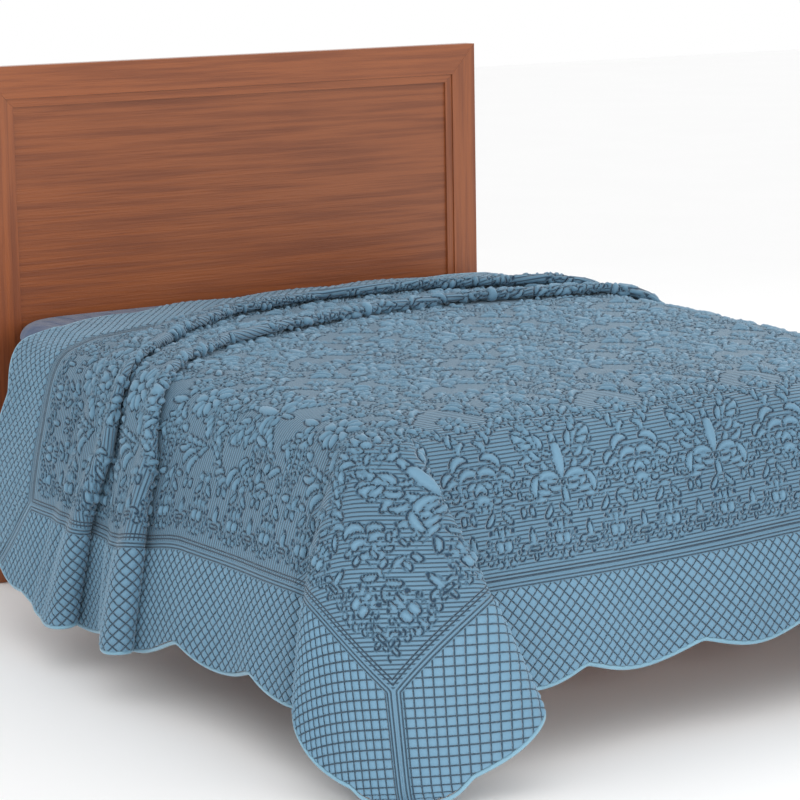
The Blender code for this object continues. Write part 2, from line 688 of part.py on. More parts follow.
def main():
    for old in list(bpy.data.objects):
        bpy.data.objects.remove(old, do_unlink=True)
    cloth = material("quilted cotton", CLOTH_COLOUR, 0.75)
    edging = material("bias binding", BINDING_COLOUR, 0.7)
    ticking = material("mattress cover", MATTRESS_COLOUR, 0.9)
    wood = material("cherry wood", WOOD_COLOUR, 0.35)
    centre_panel(cloth)
    border_strips(cloth)
    binding(edging)
    mattress(ticking)
    bed_base(wood)
    headboard(wood)
    centre_on_footprint()


main()
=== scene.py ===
"""Quilted bedspread over a plain queen bed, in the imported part's frame.

The cloth is worked out flat, u across it and v from its foot hem to its head edge, then folded and draped
by the same functions as the part. The quilting is laid on it as relief along the cloth's own face.
"""

import math

import bpy
import numpy as np
from mathutils import Matrix, Vector


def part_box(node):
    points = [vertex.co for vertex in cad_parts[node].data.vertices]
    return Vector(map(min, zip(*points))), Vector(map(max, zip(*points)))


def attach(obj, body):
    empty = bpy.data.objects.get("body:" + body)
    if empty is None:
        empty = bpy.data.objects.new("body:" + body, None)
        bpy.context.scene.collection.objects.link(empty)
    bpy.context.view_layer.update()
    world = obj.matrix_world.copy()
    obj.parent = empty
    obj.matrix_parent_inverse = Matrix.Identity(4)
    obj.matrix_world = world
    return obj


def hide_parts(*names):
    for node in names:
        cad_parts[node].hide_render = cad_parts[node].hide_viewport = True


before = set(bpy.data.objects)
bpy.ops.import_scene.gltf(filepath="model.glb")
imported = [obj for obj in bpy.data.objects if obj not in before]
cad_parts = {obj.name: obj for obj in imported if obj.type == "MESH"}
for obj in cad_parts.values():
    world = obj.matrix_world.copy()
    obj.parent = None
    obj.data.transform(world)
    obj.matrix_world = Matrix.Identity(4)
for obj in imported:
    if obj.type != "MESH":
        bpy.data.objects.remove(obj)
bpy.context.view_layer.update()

LOW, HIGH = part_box("mattress")
SHIFT = np.array([(LOW[0] + HIGH[0]) / 2, (LOW[1] + HIGH[1]) / 2, 0.0])

# Cloth
QUILT_THICKNESS = 0.005
BINDING_THICKNESS = 0.007
BINDING_WIDTH = 0.009
BINDING_GAP = 0.0009
TOP_HEIGHT = 0.723
TOP_HALF_WIDTH = 0.74
TOP_FOOT_Y = -0.90
FIELD_DROP = 0.444
BORDER_WIDTH = 0.251
HEAD_EDGE_V = 1.235
CORNER_ROUNDING = 0.25
SCALLOP_DEPTH = 0.032
FOOT_NARROWING = 0.020
FIELD_HALF_WIDTH = TOP_HALF_WIDTH + FIELD_DROP
FOOT_SEAM_V = TOP_FOOT_Y - FIELD_DROP
HEAD_SEAM_V = HEAD_EDGE_V - BORDER_WIDTH
CORNER_CUT = CORNER_ROUNDING * (1 - math.sqrt(0.5))
CORNER_BORDER = BORDER_WIDTH - CORNER_CUT
CORNER_ARC = CORNER_ROUNDING * math.pi / 4

# Side profile: distance down the cloth from the flat top, and its slope there in degrees
PROFILE = (
    # distance, slope
    (0.00, 0.0),
    (0.05, 2.0),
    (0.10, 26.0),
    (0.15, 56.0),
    (0.19, 66.0),
    (0.30, 70.0),
    (0.42, 75.0),
    (0.52, 84.0),
    (0.70, 86.0),
    (1.10, 86.0),
)

# Plan of the big fold at a foot corner, beside the top's corner, where the cloth hangs FOLD_REACH down
FOLD_REACH = 0.695
FOLD_PLAN = (
    # outwards over the side, outwards over the foot
    (0.270, 0.000),
    (0.264, 0.045),
    (0.287, 0.085),
    (0.322, 0.120),
    (0.333, 0.175),
    (0.288, 0.258),
    (0.202, 0.330),
    (0.095, 0.380),
    (-0.010, 0.402),
    (-0.078, 0.396),
    (-0.108, 0.365),
    (-0.088, 0.334),
    (-0.030, 0.326),
    (0.030, 0.330),
    (0.066, 0.316),
    (0.066, 0.288),
    (0.034, 0.272),
    (0.000, 0.270),
)
FOLD_START = 0.08
FOLD_LEAN = 0.112
FOLD_EASE = 0.08
FLOOR_CLEARANCE = 0.012
FLOOR_BEND = 0.030
FLOOR_SLIDE = 0.6

# Knife pleats that run across the bed: where the fold lies along Y, and how far it laps, for a place across
PLEAT_PLACES = (-1.45, -1.18, -1.00, -0.84, -0.70, -0.50, -0.25, 0.05, 0.35, 0.62, 0.80, 1.10, 1.45)
PLEAT_TABLE = (
    # fold Y and lap of the pleat near the foot, fold Y and lap of the pleat near the head
    (-0.250, 0.135, 0.085, 0.135),
    (-0.275, 0.135, 0.010, 0.135),
    (-0.235, 0.130, -0.020, 0.130),
    (-0.150, 0.120, 0.020, 0.120),
    (-0.005, 0.105, 0.160, 0.105),
    (0.165, 0.085, 0.390, 0.085),
    (0.290, 0.065, 0.590, 0.065),
    (0.380, 0.055, 0.680, 0.055),
    (0.410, 0.050, 0.690, 0.050),
    (0.350, 0.055, 0.600, 0.055),
    (0.290, 0.070, 0.520, 0.070),
    (0.210, 0.100, 0.440, 0.100),
    (0.150, 0.110, 0.400, 0.110),
)
INNER_FOLD = 0.006
HEAD_RISE = 0.006
FOOT_SAG = 0.026
SIDE_SLIP = 0.040
FOOT_SLIP = 0.035
ROLL_TOP = 0.010
ROLL_HEM = 0.030
ROLL_SETTLE = 0.05
LAP_SETTLE = 0.09
NORMAL_STEP = 0.0012


def smooth(t):
    t = np.clip(t, 0.0, 1.0)
    return t * t * (3 - 2 * t)


def spline(points, count):
    """Points along a smooth curve through the given ones, evenly spaced."""
    p = np.array(points, float)
    p = np.vstack([2 * p[0] - p[1], p, 2 * p[-1] - p[-2]])
    t = np.linspace(0, 1, 24, endpoint=False)[:, None]
    runs = []
    for a, b, c, d in zip(p, p[1:], p[2:], p[3:]):
        run = 2 * b + (c - a) * t + (2 * a - 5 * b + 4 * c - d) * t**2
        runs.append(0.5 * (run + (3 * b - 3 * c + d - a) * t**3))
    line = np.vstack(runs + [p[-2:-1]])
    along = np.concatenate([[0], np.cumsum(np.linalg.norm(np.diff(line, axis=0), axis=1))])
    even = np.linspace(0, along[-1], count)
    return np.stack([np.interp(even, along, line[:, k]) for k in range(line.shape[1])], axis=1)


# Side profile
PROFILE_STEP = 0.005
PROFILE_S = np.arange(0, 1.1, PROFILE_STEP)
PROFILE_SLOPE = np.radians(np.interp(PROFILE_S, *np.array(PROFILE).T))
PROFILE_OUT = np.concatenate([[0], np.cumsum(np.cos(PROFILE_SLOPE)[:-1] * PROFILE_STEP)])


def corner_tables():
    """How far out over the side and the foot, and how far down, each point of a corner hangs.

    The rows are distances from the top's corner, and the columns are directions on the flat cloth.
    """
    turn = np.linspace(0, math.pi / 2, 181)
    share = turn / (math.pi / 2)
    plan = spline(FOLD_PLAN, 400)
    lean = share - FOLD_LEAN * np.sin(math.pi * share) ** 2
    fold = np.stack([np.interp(lean * 399, np.arange(400), plan[:, k]) for k in range(2)], axis=1)
    round_corner = np.stack([np.cos(turn), np.sin(turn)], axis=1)
    extra = fold - FOLD_PLAN[0][0] * round_corner
    grown = np.clip((PROFILE_S - FOLD_START) / (FOLD_REACH - FOLD_START), 0, None)
    out = PROFILE_OUT[:, None, None] * round_corner + grown[:, None, None] * extra
    pace = np.linalg.norm(np.diff(out, axis=0), axis=2) / PROFILE_STEP
    ease = 1 + FOLD_EASE * np.sin(math.pi * share) ** 2
    fall = np.sqrt(np.clip(1 - pace**2, 0.04, None)) * ease * PROFILE_STEP
    down = np.vstack([np.zeros(len(turn)), np.cumsum(fall, axis=0)])
    return out[:, :, 0], out[:, :, 1], down


OVER_SIDE, OVER_FOOT, DOWN = corner_tables()


def look_up(table, reach, turn):
    """The table's value between its rows and columns."""
    i = np.clip(reach / PROFILE_STEP, 0, table.shape[0] - 1.001)
    j = np.clip(turn / (math.pi / 2) * (table.shape[1] - 1), 0, table.shape[1] - 1.001)
    i0, j0 = i.astype(int), j.astype(int)
    fi, fj = i - i0, j - j0
    low = table[i0, j0] * (1 - fj) + table[i0, j0 + 1] * fj
    high = table[i0 + 1, j0] * (1 - fj) + table[i0 + 1, j0 + 1] * fj
    return low * (1 - fi) + high * fi


def top_height(x, y):
    """The middle of the cloth on the flat top: full at the head, lower at the foot's right."""
    head_rise = HEAD_RISE * smooth((y + 0.2) / 1.1)
    return TOP_HEIGHT + head_rise - FOOT_SAG * smooth((x - 0.1) / 0.8) * smooth((0.1 - y) / 0.9)


def pleat_sizes(u, pleat):
    """Fold place, lap, roll radius and cloth taken up by one pleat, for a place across the cloth."""
    table = np.array(PLEAT_TABLE)
    fold = np.interp(u, PLEAT_PLACES, table[:, 2 * pleat])
    lap = np.interp(u, PLEAT_PLACES, table[:, 2 * pleat + 1])
    hang = smooth((np.abs(u) - TOP_HALF_WIDTH) / (FIELD_DROP + BORDER_WIDTH))
    roll = ROLL_TOP + (ROLL_HEM - ROLL_TOP) * hang
    length = 2 * lap - roll + math.pi * (INNER_FOLD + roll)
    return fold, lap, roll, length


def upper_layer(past, lap, roll):
    """Lift of the layer over a pleat, past its fold: a puffed roll, then a double layer, then nothing."""
    settle = ROLL_SETTLE + 4 * (roll - ROLL_TOP)
    puff = (2 * roll - 2 * INNER_FOLD) * (1 - smooth((past - roll) / settle))
    layers = 4 * INNER_FOLD * (1 - smooth((past - lap - INNER_FOLD) / LAP_SETTLE))
    return np.where(past < roll, 0, puff + layers)


def pleated(u, v):
    """Place along the bed and lift off it, for a point of the flat cloth."""
    y, lift = v, np.zeros_like(v)
    for pleat in (0, 1):
        fold, lap, roll, length = pleat_sizes(u, pleat)
        s = y - fold
        inner_end = lap + math.pi * INNER_FOLD
        middle_end = inner_end + lap - roll
        angle = np.clip((s - lap) / INNER_FOLD, 0, math.pi)
        turned = np.clip((s - middle_end) / roll, 0, math.pi)
        place = np.select(
            [s < lap, s < inner_end, s < middle_end, s < length],
            [s, lap + INNER_FOLD * np.sin(angle), lap - (s - inner_end), roll - roll * np.sin(turned)],
            s - length + roll,
        )
        layer = np.select(
            [s < lap, s < inner_end, s < middle_end, s < length],
            [
                0,
                INNER_FOLD * (1 - np.cos(angle)),
                2 * INNER_FOLD,
                2 * INNER_FOLD + roll * (1 - np.cos(turned)),
            ],
            upper_layer(place, lap, roll),
        )
        if pleat == 0:
            first_fold, first_lap, first_roll = fold, lap, roll
            second_start = s > length
        else:
            under = upper_layer(fold + place - first_fold, first_lap, first_roll)
            layer = np.where(second_start, layer + under, lift)
        y, lift = fold + place, layer
    return y, lift


def wave(along, drop, fade):
    """Soft unevenness of a hanging side, growing towards its hem."""
    grown = (drop / (FIELD_DROP + BORDER_WIDTH)) ** 2
    ripple = np.sin(9.7 * along + 0.8) + 0.6 * np.sin(17.3 * along + 2.2)
    return 0.011 * grown * ripple * smooth(fade / 0.25)


def cloth_point(u, v):
    """The middle of the draped cloth at a point of the flat one, as an array of X, Y, Z."""
    y, lift = pleated(u, v)
    side = np.where(u < 0, -1.0, 1.0)
    slip = np.where(u < 0, SIDE_SLIP, 0) * smooth((y + 0.42) / 0.30)
    u = u + side * slip * np.clip(np.abs(u) / TOP_HALF_WIDTH, 0, 1)
    y = y + FOOT_SLIP * smooth((u + 0.35) / 1.1) * smooth((0.3 - y) / 1.1)
    over_side = np.clip(np.abs(u) - TOP_HALF_WIDTH, 0, None)
    over_foot = np.clip(TOP_FOOT_Y - y, 0, None)
    reach = np.hypot(over_side, over_foot)
    turn = np.arctan2(over_foot, over_side)
    x_edge = np.clip(u, -TOP_HALF_WIDTH, TOP_HALF_WIDTH)
    y_edge = np.maximum(y, TOP_FOOT_Y)
    slope = np.interp(reach, PROFILE_S, PROFILE_SLOPE)
    on_side = (over_foot == 0) & (over_side > 0)
    on_foot = (over_side == 0) & (over_foot > 0)
    lift = lift + np.where(on_side, wave(y + 0.3 * side, reach, y - TOP_FOOT_Y), 0)
    lift = lift + np.where(on_foot, wave(u, reach, TOP_HALF_WIDTH - np.abs(u)), 0)
    lean_side = np.where(on_side, np.sin(slope), 0) * lift
    lean_foot = np.where(on_foot, np.sin(slope), 0) * lift
    out_side, out_foot = look_up(OVER_SIDE, reach, turn), look_up(OVER_FOOT, reach, turn)
    z = top_height(x_edge, y_edge) - look_up(DOWN, reach, turn) + np.cos(slope) * lift
    above = z - FLOOR_CLEARANCE
    raised = (np.sqrt(above**2 + FLOOR_BEND**2) - above) / 2
    slide = 1 + FLOOR_SLIDE * raised / np.maximum(np.hypot(out_side, out_foot), FLOOR_BEND)
    x = x_edge + side * (out_side * slide + lean_side)
    y = y_edge - out_foot * slide - lean_foot
    return np.stack([x, y, z + raised], axis=-1)


# Hem: distance along it from one corner's middle to the next, and where its scallops meet
SIDE_HEM = 2 * CORNER_ARC + HEAD_EDGE_V - TOP_FOOT_Y + FIELD_DROP + BORDER_WIDTH - 2 * CORNER_ROUNDING
FOOT_HEM = 2 * (CORNER_ARC + FIELD_HALF_WIDTH + BORDER_WIDTH - CORNER_ROUNDING)
SIDE_CUSPS = (0.16, 0.48, 0.80, 1.12, 1.44, 1.76, 2.12, SIDE_HEM - 0.17)
FOOT_CUSPS = (0.17, 0.44, 0.70, 0.959, 1.281, 1.603, 1.925, 2.247, FOOT_HEM - 0.17)


def scallop(distance, cusps, length):
    """How far the hem draws in at a distance along it: not at all in the middle of a scallop."""
    ends = np.array([-cusps[0], *cusps, 2 * length - cusps[-1]])
    place = np.clip(np.searchsorted(ends, distance) - 1, 0, len(ends) - 2)
    share = (distance - ends[place]) / (ends[place + 1] - ends[place])
    return SCALLOP_DEPTH * (1 - np.sqrt(np.sin(math.pi * share) ** 2 + 0.015)) / 0.88


def hem_width(along, start, end, cusps, length):
    """Width of a border strip at a place along its hem, with the corners rounded and the scallops cut."""
    near = np.clip(np.minimum(along - start, end - along), 0, None)
    inward = np.clip(CORNER_ROUNDING - near, 0, CORNER_ROUNDING)
    rounded = CORNER_ROUNDING - np.sqrt(CORNER_ROUNDING**2 - inward**2)
    arc = CORNER_ROUNDING * np.arcsin(inward / CORNER_ROUNDING)
    straight = near - CORNER_ROUNDING + CORNER_ARC
    from_corner = np.where(inward > 0, CORNER_ARC - arc, straight)
    distance = np.where(along - start < end - along, from_corner, length - from_corner)
    slant = np.cos(np.arcsin(inward / CORNER_ROUNDING))
    return BORDER_WIDTH - rounded - scallop(distance, cusps, length) / slant


def fine_normal(u, v):
    """The middle of the cloth, and the direction that its face looks in there."""
    step = NORMAL_STEP
    across = cloth_point(u + step, v) - cloth_point(u - step, v)
    along = cloth_point(u, v + step) - cloth_point(u, v - step)
    normal = np.cross(across, along)
    return cloth_point(u, v), normal / np.linalg.norm(normal, axis=-1, keepdims=True)


# Quilted ornament: one half of a repeat, drawn as leaves on a fine grid and mirrored across its edge
TILE_HALF = 0.21
TILE_LENGTH = 0.54
TILE_STEP = 0.0015
STITCH_HALF = 0.0030
STITCH_DEPTH = 0.45
PUFF_EDGE = 0.0030
LEAF_REACH = 0.0075
WINDOW = 0.02
ROW_HALF = 0.075
ROW_HEIGHT = 0.135
ROW_START = 0.018
FIELD_OFFSET = 0.13
GROUND_LEAVES = 45


def leaf(x, y, heading, length, width, bend, sharp=0.7):
    """Circles along a curved leaf: x, y and radius."""
    t = np.linspace(0.03, 1, 12)
    turn = np.radians(heading) + math.radians(bend) * t
    step = length / len(t)
    px = x + np.cumsum(np.cos(turn)) * step
    py = y + np.cumsum(np.sin(turn)) * step
    radius = width / 2 * np.sin(math.pi * np.clip(t, 0, 1)) ** sharp + 0.0006
    return [np.stack([px, py, radius], axis=1)]


def stem(x, y, heading, length, bend, width=0.011):
    """Circles along a curling stem, and its heading at each in degrees."""
    t = np.linspace(0, 1, 26)
    turn = np.radians(heading) + np.radians(bend) * t**1.4
    step = length / len(t)
    px, py = x + np.cumsum(np.cos(turn)) * step, y + np.cumsum(np.sin(turn)) * step
    return np.stack([px, py, np.full_like(t, width / 2)], axis=1), np.degrees(turn)


def scroll(x, y, heading, length, bend, leaf_length=0.054):
    """A curling stem with acanthus leaves on both sides and a bud at its end."""
    line, turn = stem(x, y, heading, length, bend)
    parts = [line]
    curl = 1 if bend > 0 else -1
    for k in range(3, 25, 3):
        size = leaf_length * (1.1 - 0.55 * k / 25)
        side = 1 if (k // 3) % 2 else -1
        parts += leaf(line[k, 0], line[k, 1], turn[k] + 48 * side, size, size * 0.42, -55 * side)
        parts += leaf(line[k, 0], line[k, 1], turn[k] + 78 * side, size * 0.7, size * 0.27, -70 * side)
    bud = line[-1, :2]
    parts += leaf(bud[0], bud[1], turn[-1] + 30 * curl, 0.022, 0.017, 60 * curl, 0.5)
    return parts


def fleur(x, y, size):
    """A three-leafed lily with a band at its waist."""
    parts = leaf(x, y, 90, size, size * 0.27, 0, 0.9)
    parts += leaf(x + 0.004, y, 62, size * 0.78, size * 0.17, -120)
    parts += leaf(x + 0.004, y - 0.004, -50, size * 0.4, size * 0.12, 100)
    parts += leaf(x, y - 0.002, -90, size * 0.5, size * 0.13, 0)
    parts += [np.array([[x + d, y, 0.0035] for d in (0.0, 0.005, 0.010)])]
    return parts


def rosette(x, y, radius, petals):
    """Petals round a small button."""
    parts = [np.array([[x, y, radius * 0.22]])]
    for k in range(petals):
        angle = 360 * k / petals + 12
        px = x + radius * 0.30 * math.cos(math.radians(angle))
        py = y + radius * 0.30 * math.sin(math.radians(angle))
        parts += leaf(px, py, angle, radius * 0.72, radius * 0.42, 14, 0.6)
    return parts


def tulip(x, y, size):
    """Half of an opening flower on its axis."""
    parts = leaf(x, y, 90, size, size * 0.24, 0, 0.8)
    for lean, wide in ((70, 0.22), (48, 0.20), (28, 0.15)):
        parts += leaf(x + 0.002, y, lean, size * 0.92, size * wide, 62)
    parts += leaf(x, y - 0.004, -70, size * 0.55, size * 0.14, -60)
    return parts


def ground_leaves():
    """Leaves scattered evenly under the motifs, so that the ornament covers most of the field."""
    parts = []
    for k in range(1, GROUND_LEAVES + 1):
        x = TILE_HALF * ((k * 0.618) % 1)
        y = TILE_LENGTH * ((k * 0.7549) % 1)
        turn = (k * 137.5) % 360
        parts += leaf(x, y, turn, 0.064, 0.017, 130 if k % 2 else -130)
        parts += leaf(x, y, turn + 60, 0.042, 0.013, -110 if k % 2 else 110)
    return parts


def field_motifs():
    """Half of the big repeat: lilies and a rosette on the axis, scrolls beside them."""
    parts = ground_leaves()
    parts += fleur(0, 0.060, 0.105)
    parts += tulip(0, 0.200, 0.095)
    parts += rosette(0, 0.350, 0.050, 9)
    parts += leaf(0.0, 0.435, 90, 0.060, 0.020, 0)
    parts += scroll(0.012, 0.120, 20, 0.200, 230)
    parts += scroll(0.020, 0.290, -12, 0.190, -240)
    parts += scroll(0.030, 0.430, 40, 0.170, -220, 0.034)
    parts += scroll(0.200, 0.020, 118, 0.170, 200, 0.034)
    parts += rosette(0.21, 0.235, 0.034, 8)
    parts += fleur(0.21, 0.375, 0.066)
    parts += scroll(0.190, 0.470, 170, 0.120, 210, 0.028)
    parts += leaf(0.075, 0.030, 70, 0.055, 0.017, 70)
    parts += leaf(0.110, 0.340, 30, 0.050, 0.016, 90)
    parts += leaf(0.060, 0.215, 75, 0.045, 0.015, -70)
    parts += leaf(0.150, 0.520, 200, 0.050, 0.016, 70)
    return parts


def row_motifs():
    """Half of the small repeat that stands along the seam: a palmette in an arch of leaves."""
    parts = tulip(0, 0.045, 0.058)
    parts += scroll(0.012, 0.018, 12, 0.085, 190, 0.020)
    parts += fleur(0.075, 0.040, 0.044)
    parts += leaf(0.035, 0.100, 150, 0.036, 0.011, -40)
    parts += leaf(0.060, 0.108, 60, 0.022, 0.010, 40)
    return parts


def draw_tile(parts, half, length, wrap):
    """Height from 0 to 1 of the leaves over the tile, with a dip where they are stitched round."""
    across = np.arange(0, half + TILE_STEP, TILE_STEP)
    along = np.arange(0, length + TILE_STEP, TILE_STEP)
    x, y = np.meshgrid(across, along, indexing="ij")
    inside = np.zeros(x.shape)
    for circles in parts:
        for mirror in (1, -1):
            for shift in (0, -length, length) if wrap else (0,):
                for centre in (0, 2 * half):
                    cx = centre + mirror * circles[:, 0]
                    cy = circles[:, 1] + shift
                    i0, i1 = np.searchsorted(across, (cx.min() - WINDOW, cx.max() + WINDOW))
                    j0, j1 = np.searchsorted(along, (cy.min() - WINDOW, cy.max() + WINDOW))
                    wx, wy = x[i0:i1, j0:j1], y[i0:i1, j0:j1]
                    if not wx.size:
                        continue
                    gap = np.hypot(wx[..., None] - cx, wy[..., None] - cy) - circles[:, 2]
                    inside[i0:i1, j0:j1] = leaf_height(gap.min(axis=-1), inside[i0:i1, j0:j1])
    return inside


def leaf_height(gap, below):
    """A puffed leaf laid over what is below it: its edge is stitched down."""
    puff = 1 - np.exp(-np.clip(-gap, 0, None) / PUFF_EDGE)
    edge = np.exp(-((gap / STITCH_HALF) ** 2))
    beside = np.maximum(below, 0) * (1 - edge)
    over = np.where(gap < 0, puff, beside) - STITCH_DEPTH * edge
    return np.where(gap < LEAF_REACH, over, below)


def sample(tile, across, along):
    """The tile's height between its points."""
    i = np.clip(across / TILE_STEP, 0, tile.shape[0] - 1.001)
    j = np.clip(along / TILE_STEP, 0, tile.shape[1] - 1.001)
    i0, j0 = i.astype(int), j.astype(int)
    fi, fj = i - i0, j - j0
    low = tile[i0, j0] * (1 - fj) + tile[i0, j0 + 1] * fj
    high = tile[i0 + 1, j0] * (1 - fj) + tile[i0 + 1, j0 + 1] * fj
    return low * (1 - fi) + high * fi


def mirrored(distance, half):
    """A distance folded back and forth over half a repeat."""
    return half - np.abs(np.mod(distance, 2 * half) - half)


FIELD_TILE = draw_tile(field_motifs(), TILE_HALF, TILE_LENGTH, True)
ROW_TILE = draw_tile(row_motifs(), ROW_HALF, ROW_HEIGHT, False)


def seam_distance(u, v):
    """Distance in from the seam round the field, and place along it."""
    to_side = FIELD_HALF_WIDTH - np.abs(u)
    to_foot, to_head = v - FOOT_SEAM_V, HEAD_SEAM_V - v
    nearest = np.minimum(np.minimum(to_side, to_foot), to_head)
    return nearest, np.where(nearest == to_side, v - FOOT_SEAM_V, u)


def field_relief(u, v):
    """Height from -0.5 to 1 of the ornament over the field."""
    inward, along = seam_distance(u, v)
    place = np.mod(v - FOOT_SEAM_V - FIELD_OFFSET, TILE_LENGTH)
    motif = sample(FIELD_TILE, mirrored(u, TILE_HALF), place)
    row = sample(ROW_TILE, mirrored(along, ROW_HALF), np.clip(inward - ROW_START, 0, ROW_HEIGHT))
    in_row = smooth((ROW_HEIGHT + ROW_START - inward) / 0.006)
    height = motif * (1 - in_row) + row * in_row
    return height * smooth((inward - ROW_START) / 0.004)


# Looks
# CLOTH_DARK is mixed into the cloth as painted shade along the stitched lines and over the low ground between
# puffs, and a little as random mottle
CLOTH_LIGHT = (0.136, 0.270, 0.384, 1)
CLOTH_DARK = (0.012, 0.042, 0.082, 1)
BINDING_LIGHT = (0.21, 0.40, 0.52, 1)
BINDING_DARK = (0.15, 0.31, 0.42, 1)
SHEET_LIGHT = (0.050, 0.095, 0.195, 1)
SHEET_DARK = (0.035, 0.070, 0.150, 1)
SHEEN_TINT = (0.75, 0.88, 1.0, 1)
WOOD_DEEP = (0.180, 0.044, 0.012)
WOOD_WARM = (0.315, 0.088, 0.024)
WOOD_PALE = (0.370, 0.115, 0.036)
FLOOR_DARK = (0.95, 0.95, 0.95, 1)
FLOOR_LIGHT = (0.98, 0.98, 0.98, 1)
WHITE = (1, 1, 1, 1)

# Quilting
FIRST_STITCH = 0.0060
SECOND_STITCH = 0.0135
LINE_HALF = 0.0022
LINE_DEPTH = 0.0012
LINE_SOFTNESS = 0.003
CELL = 0.0190
CHANNEL = 0.0088
FIELD_PUFF = 0.0072
CELL_PUFF = 0.0052
CELL_SINK = 0.0008
FACE = QUILT_THICKNESS / 2 + 0.0004
FINE_CELL = 0.0042
COARSE_CELL = 0.009
HEAD_CELL = 0.0075
SEEN_TO = 0.80
FIELD_RUNS = 4


def diamond(u, v):
    """Coordinates of the diamond quilting, in cells."""
    return (u + v) / math.sqrt(2) / CELL, (u - v) / math.sqrt(2) / CELL


def cell_height(a, b):
    return np.sqrt(np.abs(np.sin(math.pi * a) * np.sin(math.pi * b)))


class Nodes:
    """Short calls that add shader nodes and join them."""

    def __init__(self, name):
        self.material = bpy.data.materials.new(name)
        self.material.use_nodes = True
        self.tree = self.material.node_tree
        self.shader = self.tree.nodes["Principled BSDF"]

    def put(self, value, socket):
        if hasattr(value, "node"):
            self.tree.links.new(value, socket)
        else:
            socket.default_value = value

    def math(self, operation, *values):
        node = self.tree.nodes.new("ShaderNodeMath")
        node.operation = operation
        for k, value in enumerate(values):
            self.put(value, node.inputs[k])
        return node.outputs[0]

    def attribute(self, name):
        node = self.tree.nodes.new("ShaderNodeAttribute")
        node.attribute_name = name
        return node.outputs["Fac"]

    def noise(self, scale, detail=3.0, stretch=(1, 1, 1)):
        place = self.tree.nodes.new("ShaderNodeTexCoord")
        mapping = self.tree.nodes.new("ShaderNodeMapping")
        mapping.inputs["Scale"].default_value = stretch
        self.tree.links.new(place.outputs["Object"], mapping.inputs["Vector"])
        node = self.tree.nodes.new("ShaderNodeTexNoise")
        self.tree.links.new(mapping.outputs[0], node.inputs["Vector"])
        node.inputs["Scale"].default_value = scale
        node.inputs["Detail"].default_value = detail
        return node.outputs["Fac"]

    def span(self, value, low, high, to_low=0.0, to_high=1.0):
        node = self.tree.nodes.new("ShaderNodeMapRange")
        node.interpolation_type = "SMOOTHSTEP"
        self.put(value, node.inputs["Value"])
        for key, number in (("From Min", low), ("From Max", high), ("To Min", to_low), ("To Max", to_high)):
            node.inputs[key].default_value = number
        return node.outputs[0]

    def mix(self, factor, first, second):
        node = self.tree.nodes.new("ShaderNodeMix")
        node.data_type = "RGBA"
        self.put(factor, node.inputs[0])
        self.put(first, node.inputs[6])
        self.put(second, node.inputs[7])
        return node.outputs[2]

    def bump(self, height, distance, normal=None):
        node = self.tree.nodes.new("ShaderNodeBump")
        node.inputs["Distance"].default_value = distance
        self.put(height, node.inputs["Height"])
        if normal is not None:
            self.put(normal, node.inputs["Normal"])
        return node.outputs[0]

    def line(self, distance, at, half):
        """1 on a line at a distance, fading to 0 at half a width beside it."""
        off = self.math("ABSOLUTE", self.math("SUBTRACT", distance, at))
        return self.span(off, 0.0, half, 1.0, 0.0)

    def near_whole(self, value, half):
        """1 where a value is whole, fading to 0 at half beside it."""
        part = self.math("FRACT", self.math("ADD", value, 0.5))
        off = self.math("ABSOLUTE", self.math("SUBTRACT", part, 0.5))
        return self.span(off, 0.0, half, 1.0, 0.0)


def cloth_material(name, border):
    """Quilted cotton: stitched lines sink and get painted shade, the low ground between puffs gets painted shade
    too, and a fine weave covers all.
    """
    made = Nodes(name)
    relief = made.attribute("relief")
    seam = made.attribute("seam")
    first_line = made.line(seam, FIRST_STITCH, LINE_HALF)
    double = made.math("MAXIMUM", first_line, made.line(seam, SECOND_STITCH, LINE_HALF))
    if border:
        cells = made.math(
            "MAXIMUM",
            made.near_whole(made.attribute("cell_a"), 0.11),
            made.near_whole(made.attribute("cell_b"), 0.11),
        )
        clear = made.span(seam, 0.016, 0.018)
        stitched = made.math("MAXIMUM", made.math("MULTIPLY", cells, clear), double)
        height = made.math("SUBTRACT", 1.0, stitched)
        # painted shade in the stitched lines of the diamonds and in the double seam
        shade = made.math("MULTIPLY", stitched, 0.62)
    else:
        channel = made.math("MULTIPLY", 0.7, made.near_whole(made.attribute("channel"), 0.24))
        plain = made.span(made.math("ABSOLUTE", relief), 0.02, 0.14, 1.0, 0.0)
        channel = made.math("MULTIPLY", channel, plain)
        outline = made.span(relief, -0.36, 0.0, 1.0, 0.0)
        stitched = made.math("MAXIMUM", made.math("MAXIMUM", channel, outline), double)
        height = made.math("SUBTRACT", 1.0, stitched)
        # painted shade in the channel lines, the motif outlines and the double seam
        shade = made.math("MULTIPLY", stitched, 0.86)
    cloud = made.noise(2.2, 4.0)
    # painted shade of the stitches, plus a little random mottle from the cloud noise
    shade_and_mottle = made.math("ADD", shade, made.span(cloud, 0.35, 0.75, 0.0, 0.13))
    # painted shade over the low ground between the puffs, none on their tops
    low_relief_shade = made.span(relief, 0.15, 0.85, 0.20, 0.0)
    colour = made.mix(made.math("ADD", shade_and_mottle, low_relief_shade), CLOTH_LIGHT, CLOTH_DARK)
    made.put(colour, made.shader.inputs["Base Color"])
    weave = made.noise(900.0, 2.0)
    slub = made.noise(70.0, 3.0)
    first = made.bump(height, 0.0050)
    second = made.bump(slub, 0.0009, first)
    made.put(made.bump(weave, 0.0005, second), made.shader.inputs["Normal"])
    made.shader.inputs["Roughness"].default_value = 0.62
    made.shader.inputs["Sheen Weight"].default_value = 0.35
    made.shader.inputs["Sheen Roughness"].default_value = 0.4
    made.shader.inputs["Sheen Tint"].default_value = SHEEN_TINT
    made.shader.inputs["Specular IOR Level"].default_value = 0.35
    return made.material


